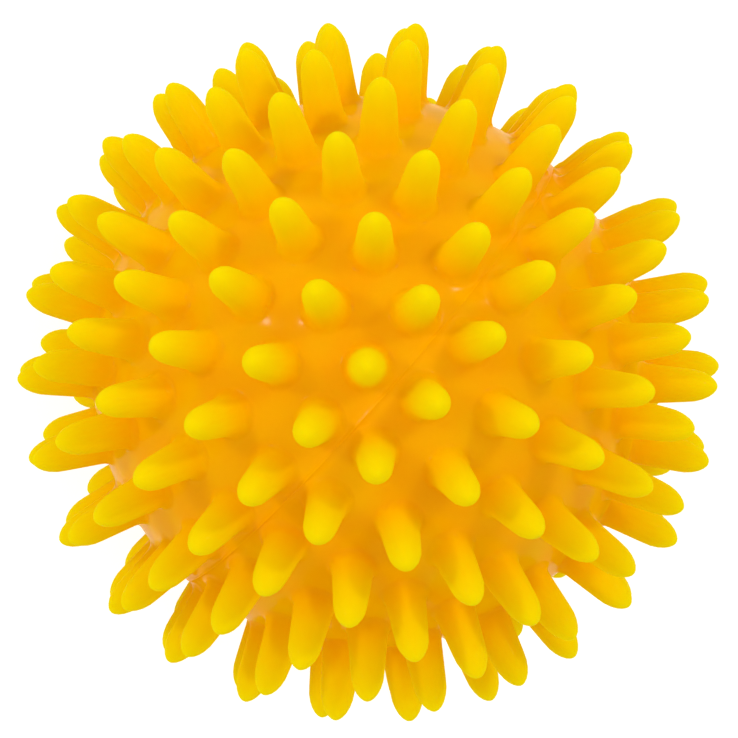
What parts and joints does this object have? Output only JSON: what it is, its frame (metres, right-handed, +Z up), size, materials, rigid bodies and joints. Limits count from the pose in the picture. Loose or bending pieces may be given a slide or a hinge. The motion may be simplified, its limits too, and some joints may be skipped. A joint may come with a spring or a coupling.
{
  "type": "spiky massage ball",
  "caption": "Hollow soft PVC massage ball covered in tapered round-nosed spikes, moulded as two halves joined at a seam, with a pull-out air valve plug.",
  "frame": {"origin": "centre of the ball", "axes": "+X along the mould axis, square to the seam and out through the pole of the plain half; +Z up, out through the side of the ball that the picture shows"},
  "size_m": [0.08, 0.0795, 0.0795],
  "materials": {
    "soft_pvc": "satin soft PVC, slightly translucent, yellow at the spike tips and amber between them",
    "valve_pvc": "satin soft PVC, amber"
  },
  "bodies": {
    "ball": {"plain_half_shell": "soft_pvc", "valve_half_shell": "soft_pvc", "valve_seat": "valve_pvc"},
    "plug": {"valve_plug": "valve_pvc"}
  },
  "joints": [
    {"name": "plug_pull", "type": "slide", "parent": "ball", "child": "plug", "axis": [-0.5566, -0.6847, -0.4706], "range_m": [0, 0.012]}
  ]
}
